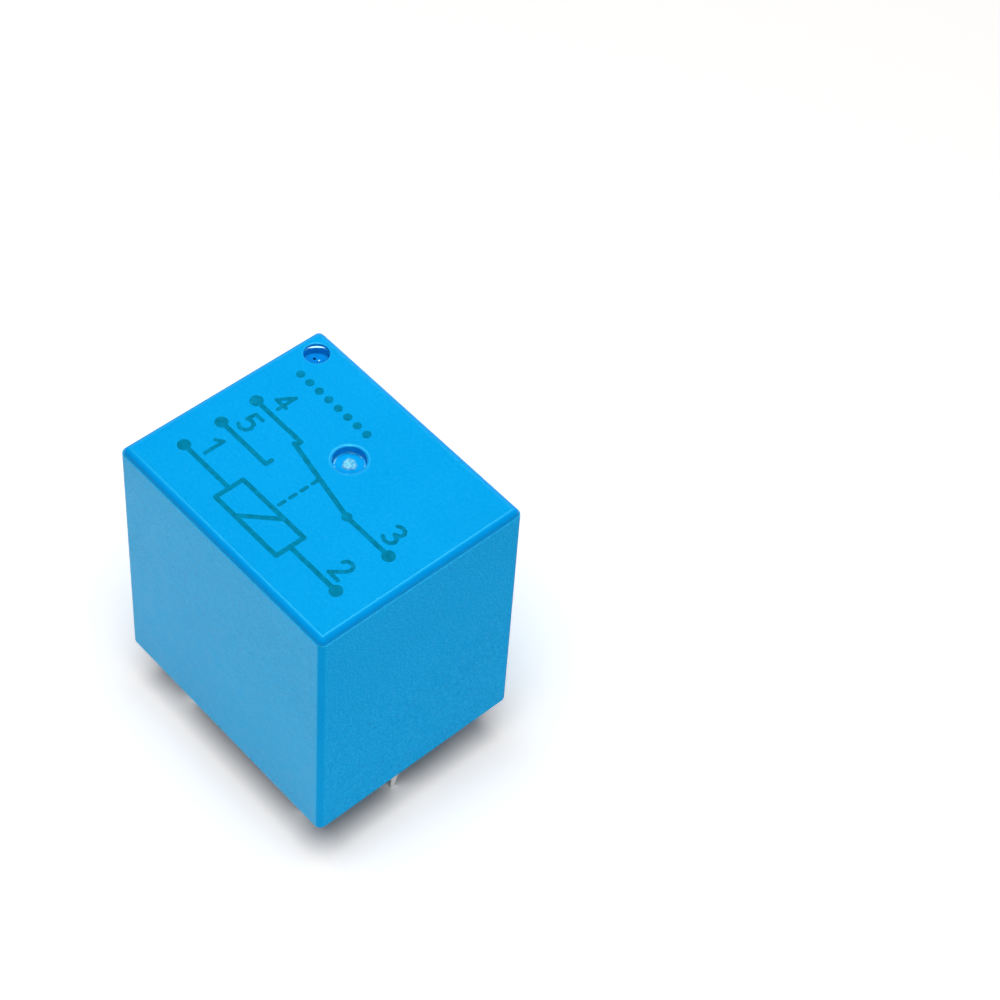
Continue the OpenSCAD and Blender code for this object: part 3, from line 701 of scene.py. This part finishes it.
DIGITS = {
    1: [(0.15, 0.78), (0.45, 1.0), (0.45, 0.0)],
    2: [(0.05, 0.76), (0.14, 0.93), (0.34, 1.0), (0.54, 0.93), (0.6, 0.74), (0.52, 0.54), (0.05, 0.0),
        (0.64, 0.0)],
    3: [(0.06, 0.9), (0.22, 1.0), (0.44, 0.98), (0.57, 0.84), (0.54, 0.64), (0.3, 0.53), (0.56, 0.43),
        (0.63, 0.24), (0.5, 0.05), (0.26, 0.0), (0.04, 0.1)],
    4: [(0.48, 0.0), (0.48, 1.0), (0.02, 0.3), (0.66, 0.3)],
    5: [(0.58, 1.0), (0.12, 1.0), (0.08, 0.56), (0.3, 0.64), (0.52, 0.57), (0.62, 0.34), (0.52, 0.1),
        (0.28, 0.0), (0.04, 0.1)],
}


def slab(bm, outline, z):
    """Thin print with the given outline: its foot is sunk in the cover and its face is at height z."""
    foot = add_ring(bm, [(x, y, TOP - PRINT_SUNK) for x, y in outline])
    face = add_ring(bm, [(x, y, z) for x, y in outline])
    bridge(bm, foot, face)
    bm.faces.new(foot)
    bm.faces.new(face)


def stroke(bm, points, width, z):
    """Flat line with round ends through the points. Gives the height for the next stroke."""
    half = width / 2
    steps = 8
    for a, b in zip(points, points[1:]):
        a = Vector(a) * MM
        b = Vector(b) * MM
        d = b - a
        turn = math.atan2(d.y, d.x)
        outline = []
        for centre, start in ((b, -90), (a, 90)):
            for k in range(steps + 1):
                t = turn + math.radians(start + 180 * k / steps)
                outline.append((centre.x + half * math.cos(t), centre.y + half * math.sin(t)))
        slab(bm, outline, z)
        z += PRINT_STEP
    return z


def dot(bm, x, y, r, z):
    """Flat round dot. Gives the height for the next stroke."""
    points = 32
    ring = circle_ring(Vector((x * MM, y * MM)), r * MM, z, points)
    slab(bm, [(p.x, p.y) for p in ring], z)
    return z + PRINT_STEP


def make_marking():
    """Plain wiring diagram: a coil, a changeover contact and five numbered pins."""
    bm = bmesh.new()
    z = PRINT_Z
    coil = ([(LEFT_X, COIL_Y), (-COIL_HALF, COIL_Y)],
            [(COIL_HALF, COIL_Y), (RIGHT_X, COIL_Y)],
            [(-COIL_HALF, COIL_LOW), (COIL_HALF, COIL_LOW), (COIL_HALF, COIL_HIGH),
             (-COIL_HALF, COIL_HIGH), (-COIL_HALF, COIL_LOW)],
            [(-SLASH_HALF, COIL_LOW), (SLASH_HALF, COIL_HIGH)])
    changeover = ([(RIGHT_X, COM_Y), (HINGE_X, COM_Y)],
                  [(HINGE_X, COM_Y), ARM_TIP],
                  [(LEFT_X, CLOSED_Y), (CONTACT_X, CLOSED_Y), (CONTACT_X, CLOSED_TIP_Y)],
                  [(LEFT_X, OPEN_Y), (CONTACT_X, OPEN_Y), (CONTACT_X, OPEN_TIP_Y)])
    for points in coil + changeover:
        z = stroke(bm, points, LINE_W, z)
    # Dashed link from the coil to the contact
    for k in range(DASH_COUNT):
        low = COIL_HIGH + DASH + 2 * DASH * k
        z = stroke(bm, [(0.0, low), (0.0, low + DASH)], DASH_W, z)
    pins = ((LEFT_X, COIL_Y), (RIGHT_X, COIL_Y), (RIGHT_X, COM_Y), (LEFT_X, CLOSED_Y), (LEFT_X, OPEN_Y))
    for x, y in pins:
        z = dot(bm, x, y, PIN_DOT_R, z)
    z = dot(bm, HINGE_X, COM_Y, HINGE_DOT_R, z)
    # The pins are numbered in that order, each digit just above its wire
    for digit, (pin_x, wire_y) in enumerate(pins, 1):
        x = LEFT_DIGIT_X if pin_x == LEFT_X else RIGHT_DIGIT_X
        y = wire_y + DIGIT_GAP
        path = [(x + DIGIT_H * px, y + DIGIT_H * py) for px, py in DIGITS[digit]]
        z = stroke(bm, path, DIGIT_W, z)
    for k in range(TALLY_COUNT):
        z = dot(bm, LEFT_X + TALLY_PITCH * k, TALLY_Y, TALLY_R, z)
    mark = new_piece("top_marking", bm, [ink()])


# Sealing resin
RESIN_AROUND = 288
RESIN_ACROSS = 40
LAP_T = 0.012 * MM
LAP_SINK = 0.001 * MM
LAP_MIN = 0.02
LAP_EDGE = 0.1 * MM
FACING = 1e-6
CLIMB = 0.24 * MM
CLIMB_WAVE = 0.12 * MM
CLIMB_REACH = 0.32 * MM
CLIMB_WAVES = 420
FACE_WAVE = 0.02 * MM
FACE_WAVES = 260
LAP_REACH = 0.5 * MM
PIN_DIP = 0.2 * MM
PIN_DIP_REACH = 0.75 * MM
PIN_SWELL = 0.05 * MM
PIN_SWELL_R = 1.35 * MM
PIN_SWELL_REACH = 0.35 * MM


def ray_to_box(direction, half_x, half_y, r):
    """Distance from the middle to a rounded rectangle along a direction."""
    halvings = 40
    low = 0.0
    high = half_x + half_y
    for _ in range(halvings):
        mid = (low + high) / 2
        p = direction * mid
        q = Vector((max(abs(p.x) - (half_x - r), 0), max(abs(p.y) - (half_y - r), 0)))
        if q.length < r and abs(p.x) < half_x and abs(p.y) < half_y:
            low = mid
        else:
            high = mid
    return low


def ray_to_plateau(direction):
    """Distance from the middle to the outline of the bare plateau along a direction."""
    cut_reach = PLATEAU_HALF.x + PLATEAU_HALF.y - PLATEAU_CUT
    sides = []
    for sx in (-1, 1):
        sides.append((Vector((sx, 0)), PLATEAU_HALF.x + sx * PLATEAU_X))
        sides.append((Vector((0, sx)), PLATEAU_HALF.y))
        for sy in (-1, 1):
            sides.append((Vector((sx, sy)), cut_reach + sx * PLATEAU_X))
    return min(reach / direction.dot(n) for n, reach in sides if direction.dot(n) > FACING)


def resin_height(p, from_wall, from_plateau):
    """Height of the resin's open face: it climbs at the walls and laps on the plateau, and round
    each pin it dips and then swells."""
    climb = CLIMB + CLIMB_WAVE * noise.noise(Vector((p.x * CLIMB_WAVES, p.y * CLIMB_WAVES, 3.1)))
    z = RESIN_Z + FACE_WAVE * noise.noise(Vector((p.x * FACE_WAVES, p.y * FACE_WAVES, 8.7)))
    z -= climb * math.exp(-from_wall / CLIMB_REACH)
    z += (PLATEAU_Z - LAP_T - RESIN_Z) * math.exp(-from_plateau / LAP_REACH)
    for pin in COIL_PINS + CONTACT_PINS + (COM_PIN,):
        d = (p - pin).length
        z += PIN_DIP * math.exp(-(d / PIN_DIP_REACH) ** 2)
        z -= PIN_SWELL * math.exp(-((d - PIN_SWELL_R) / PIN_SWELL_REACH) ** 2)
    return z


def resin_lap(d):
    """How far the resin laps onto the plateau in a direction, most of all towards the single pin."""
    lap = 0.12 + 0.16 * noise.noise(Vector((d.x * 3, d.y * 3, 1.7)))
    lap += 0.75 * max(0.0, d.x) ** 6 * (0.6 + noise.noise(Vector((d.y * 4, 0.4, 5.0))))
    return max(LAP_MIN, lap) * MM


def make_resin():
    bm = bmesh.new()
    inset = WALL + lean(RESIN_Z)
    rows = []
    for i in range(RESIN_AROUND):
        a = 2 * math.pi * i / RESIN_AROUND
        d = Vector((math.cos(a), math.sin(a)))
        far = ray_to_box(d, HALF_L - inset, HALF_W - inset, INNER_R)
        near = ray_to_plateau(d)
        edge = near - resin_lap(d)
        row = []
        for k in range(RESIN_ACROSS + 1):
            t = k / RESIN_ACROSS
            r = edge + (far - edge) * t * t * (3 - 2 * t)
            p = d * r
            z = resin_height(p, far - r, max(r - near, 0.0))
            if r < near:
                z = PLATEAU_Z - LAP_T * min(1.0, (r - edge) / LAP_EDGE) - LAP_SINK
            row.append(bm.verts.new((p.x, p.y, z)))
        # Each row goes on round the back of the resin
        row.append(bm.verts.new((d.x * far, d.y * far, RESIN_IN_Z)))
        row.append(bm.verts.new((d.x * near, d.y * near, RESIN_IN_Z)))
        rows.append(row)
    for row, beside in zip(rows, rows[1:] + rows[:1]):
        bridge(bm, row, beside)
    resin = new_piece("resin_fill", bm, [black_resin()], sharp_deg=60)
    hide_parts("potting")


# Solder on the pins, with sizes in millimetres
COAT_TOP = 0.75
COAT_STEPS = 46
COAT_POINTS = 32
COAT_FINISHES = [SOLDER, SOLDER_PAINTED_LIGHTER]
LIGHTER_SOLDER_SLOT = 1
BROAD = 0.8


def section_ring(cx, cy, hx, hy, z, seed):
    """Rounded section of a dipped pin, a little uneven."""
    squareness = 0.5
    points = []
    for k in range(COAT_POINTS):
        a = 2 * math.pi * k / COAT_POINTS
        c = math.cos(a)
        s = math.sin(a)
        x = math.copysign(abs(c) ** squareness, c) * hx
        y = math.copysign(abs(s) ** squareness, s) * hy
        swell = 1 + 0.05 * noise.noise(Vector((x * 1.6 + seed, y * 1.6, z * 1.1)))
        points.append(((cx + x * swell) * MM, (cy + y * swell) * MM, z * MM))
    return points


def make_coat(name, shape, seed, broad=(0, 0, 0)):
    """Solder skin along a pin. From a height above the tip, shape gives the section's middle and half
    sizes. The faces that look along broad, either way, have a rougher, lighter skin: painted light."""
    bm = bmesh.new()
    tip = PIN_TIP_Z / MM
    rings = []
    for k in range(COAT_STEPS + 1):
        z = COAT_TOP + (tip - COAT_TOP) * k / COAT_STEPS
        rings.append(add_ring(bm, section_ring(*shape(z - tip), z, seed)))
    cx, cy, hx, hy = shape(0.0)
    for scale, drop in ((0.8, 0.02), (0.45, 0.035)):
        rings.append(add_ring(bm, section_ring(cx, cy, hx * scale, hy * scale, tip - drop, seed)))
    for a, b in zip(rings, rings[1:]):
        for f in bridge(bm, a, b):
            f.normal_update()
            # Painted light: faces along broad take the lighter solder
            if abs(f.normal.dot(Vector(broad))) > BROAD:
                f.material_index = LIGHTER_SOLDER_SLOT
    bm.faces.new(rings[-1])
    bm.faces.new(rings[0])
    coat = new_piece(name, bm, COAT_FINISHES, sharp_deg=60)


def blob(up):
    """Extra solder that gathers near the tip, for a height above it."""
    return 0.05 * math.exp(-((up - 0.55) / 0.55) ** 2)


def taper(up, low, high, length):
    """Size that grows from low at the tip to high over a length."""
    return low + (high - low) * min(1.0, max(0.0, up) / length)


def make_coats():
    """Skins of the two round coil pins, the two flat contact pins, and the single pin's slanted tip."""
    for name, pin, seed in (("coil_pin_solder_a", COIL_PINS[0], 1.0),
                            ("coil_pin_solder_b", COIL_PINS[1], 7.0)):
        def round_pin(up, pin=pin):
            r = taper(up, 0.24, 0.41, 0.42) + blob(up)
            return pin.x / MM, pin.y / MM, r, r
        make_coat(name, round_pin, seed)
    for name, pin, seed in (("no_pin_solder", CONTACT_PINS[0], 13.0),
                            ("nc_pin_solder", CONTACT_PINS[1], 19.0)):
        def flat_pin(up, pin=pin):
            wide = taper(up, 0.28, 0.525, 0.45)
            return pin.x / MM, pin.y / MM, wide + blob(up) * 0.6, 0.27 + blob(up)
        make_coat(name, flat_pin, seed, (0, 1, 0))

    def slant_pin(up):
        far = taper(up, -0.1, 0.5, 1.7)
        return COM_PIN.x / MM, (far - 0.5) / 2, 0.268 + blob(up) * 0.4, (far + 0.5) / 2 + 0.022
    make_coat("com_pin_solder", slant_pin, 25.0, (1, 0, 0))


# Contact spring between the yoke and the armature, copied from its solid in bronze
def make_spring():
    source = nodes["contact_spring"]
    mesh = source.data.copy()
    mesh.materials.clear()
    mesh.materials.append(BRONZE)
    spring = bpy.data.objects.new("contact_spring_strip", mesh)
    bpy.context.scene.collection.objects.link(spring)
    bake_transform(spring)
    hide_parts("contact_spring")


# Finishes of the solids that show as they are
def dress(names, mat):
    for name in names:
        mesh = nodes[name].data
        mesh.materials.clear()
        mesh.materials.append(mat)


make_cover()
make_marking()
make_resin()
make_coats()
make_spring()
dress(["base"], black_plastic())
dress(["bobbin"], nylon())
dress(["coil_winding"], winding())
dress(["coil_lead_a", "coil_lead_b"], COPPER)
dress(["coil_joint_a", "coil_joint_b"], SOLDER)
dress(["core", "yoke", "armature"], PLATED)
dress(["coil_terminal_a", "coil_terminal_b", "com_terminal", "no_terminal", "nc_terminal"], TINNED)
dress(["moving_contact", "no_contact", "nc_contact"], SILVER)

# Floor, light and camera
FLOOR_Z = PIN_TIP_Z - 0.035 * MM
FLOOR_HALF = 1.2
FLOOR_LIFT = 0.5
FLOOR_BOUNCE = 0.42
SHADE_NEAR = 10 * MM
SHADE_FAR = 30 * MM
SHADE_LEVEL = 0.0
SKY = 0.1
LIGHT_AIM = (0, 0, 0.01)
SENSOR = 36
LENS = SENSOR * 2.59294
CAMERA_PLACE = (0.079705, -0.066627, 0.146486)
CAMERA_TURN = (0.856554, 0.316921, 0.110644, 0.391961)


def make_floor():
    bm = bmesh.new()
    corners = ((-1, -1), (1, -1), (1, 1), (-1, 1))
    bm.faces.new([bm.verts.new((x * FLOOR_HALF, y * FLOOR_HALF, FLOOR_Z)) for x, y in corners])
    s = Shader("floor_white", 0.9, 0.0)
    s.colour(s.drift(0.3, 2.0, (0.915, 0.9, 0.885, 1), (0.925, 0.91, 0.895, 1)))
    # A second white layer that only direct looks see, so that the lit floor is white and the shadow stays
    path = s.node("ShaderNodeLightPath")
    extra = s.node("ShaderNodeBsdfDiffuse")
    s.link(s.combine("MULTIPLY", path.outputs["Is Camera Ray"], FLOOR_LIFT), extra.inputs["Color"])
    # Light that a brightly lit sheet throws back at what stands on it, less of it from the shaded middle
    throw = s.node("ShaderNodeEmission")
    bounced = s.combine("MAXIMUM", path.outputs["Is Diffuse Ray"], path.outputs["Is Glossy Ray"])
    full = s.combine("MULTIPLY", bounced, FLOOR_BOUNCE)
    away = s.node("ShaderNodeVectorMath", operation="LENGTH")
    s.link(s.place, away.inputs[0])
    lit = s.span(away.outputs["Value"], SHADE_NEAR, SHADE_FAR, SHADE_LEVEL, 1.0)
    s.link(s.combine("MULTIPLY", lit, full), throw.inputs["Strength"])
    surface = s.bsdf.outputs[0]
    for layer in (extra, throw):
        both = s.node("ShaderNodeAddShader")
        s.link(surface, both.inputs[0])
        s.link(layer.outputs[0], both.inputs[1])
        surface = both.outputs[0]
    s.link(surface, s.tree.nodes["Material Output"].inputs["Surface"])
    floor = new_piece("floor", bm, [s.mat], body=None)
    return floor


def make_world():
    """White for what looks straight at it or mirrors it, and a dim sky for the rest."""
    world = bpy.data.worlds.new("studio")
    bpy.context.scene.world = world
    world.use_nodes = True
    tree = world.node_tree
    path = tree.nodes.new("ShaderNodeLightPath")
    seen = path.outputs["Is Camera Ray"]
    for kind in ("Is Glossy Ray", "Is Transmission Ray"):
        either = tree.nodes.new("ShaderNodeMath")
        either.operation = "MAXIMUM"
        tree.links.new(seen, either.inputs[0])
        tree.links.new(path.outputs[kind], either.inputs[1])
        seen = either.outputs[0]
    level = tree.nodes.new("ShaderNodeMapRange")
    level.inputs["To Min"].default_value = SKY
    level.inputs["To Max"].default_value = 1.0
    tree.links.new(seen, level.inputs["Value"])
    back = tree.nodes["Background"]
    back.inputs["Color"].default_value = (1, 1, 1, 1)
    tree.links.new(level.outputs["Result"], back.inputs["Strength"])


def add_area(name, place_at, aim, size, energy, floor, only_floor=False):
    """Round area lamp, which lights the floor alone or all but the floor."""
    data = bpy.data.lights.new(name, "AREA")
    data.shape = "DISK"
    data.size = size
    data.energy = energy
    lamp = bpy.data.objects.new(name, data)
    lamp.location = place_at
    lamp.rotation_mode = "QUATERNION"
    lamp.rotation_quaternion = (Vector(aim) - Vector(place_at)).to_track_quat("-Z", "Y")
    bpy.context.scene.collection.objects.link(lamp)
    group = bpy.data.collections.new(name + "_receivers")
    group.objects.link(floor)
    lamp.light_linking.receiver_collection = group
    if not only_floor:
        group.collection_objects[0].light_linking.link_state = "EXCLUDE"
    return lamp


def make_camera():
    data = bpy.data.cameras.new("camera")
    data.sensor_width = SENSOR
    data.lens = LENS
    data.clip_start = 0.005
    data.clip_end = 10
    cam = bpy.data.objects.new("camera", data)
    cam.location = CAMERA_PLACE
    cam.rotation_mode = "QUATERNION"
    cam.rotation_quaternion = Quaternion(CAMERA_TURN)
    bpy.context.scene.collection.objects.link(cam)
    bpy.context.scene.camera = cam


floor = make_floor()
make_world()
add_area("key_light", (-0.093, 0.093, 0.27), LIGHT_AIM, size=0.16, energy=0.7, floor=floor)
add_area("front_light", (0.176, -0.148, 0.193), LIGHT_AIM, size=0.08, energy=0.25, floor=floor)
glint = add_area("edge_light", (-0.048, 0.048, 0.292), LIGHT_AIM, size=0.05, energy=0.24, floor=floor)
glint.visible_diffuse = False
add_area("floor_light", (0.075, -0.093, 0.6), (0, 0, 0), size=0.47, energy=2.92, floor=floor,
         only_floor=True)
make_camera()
bpy.context.scene.view_settings.view_transform = "Standard"
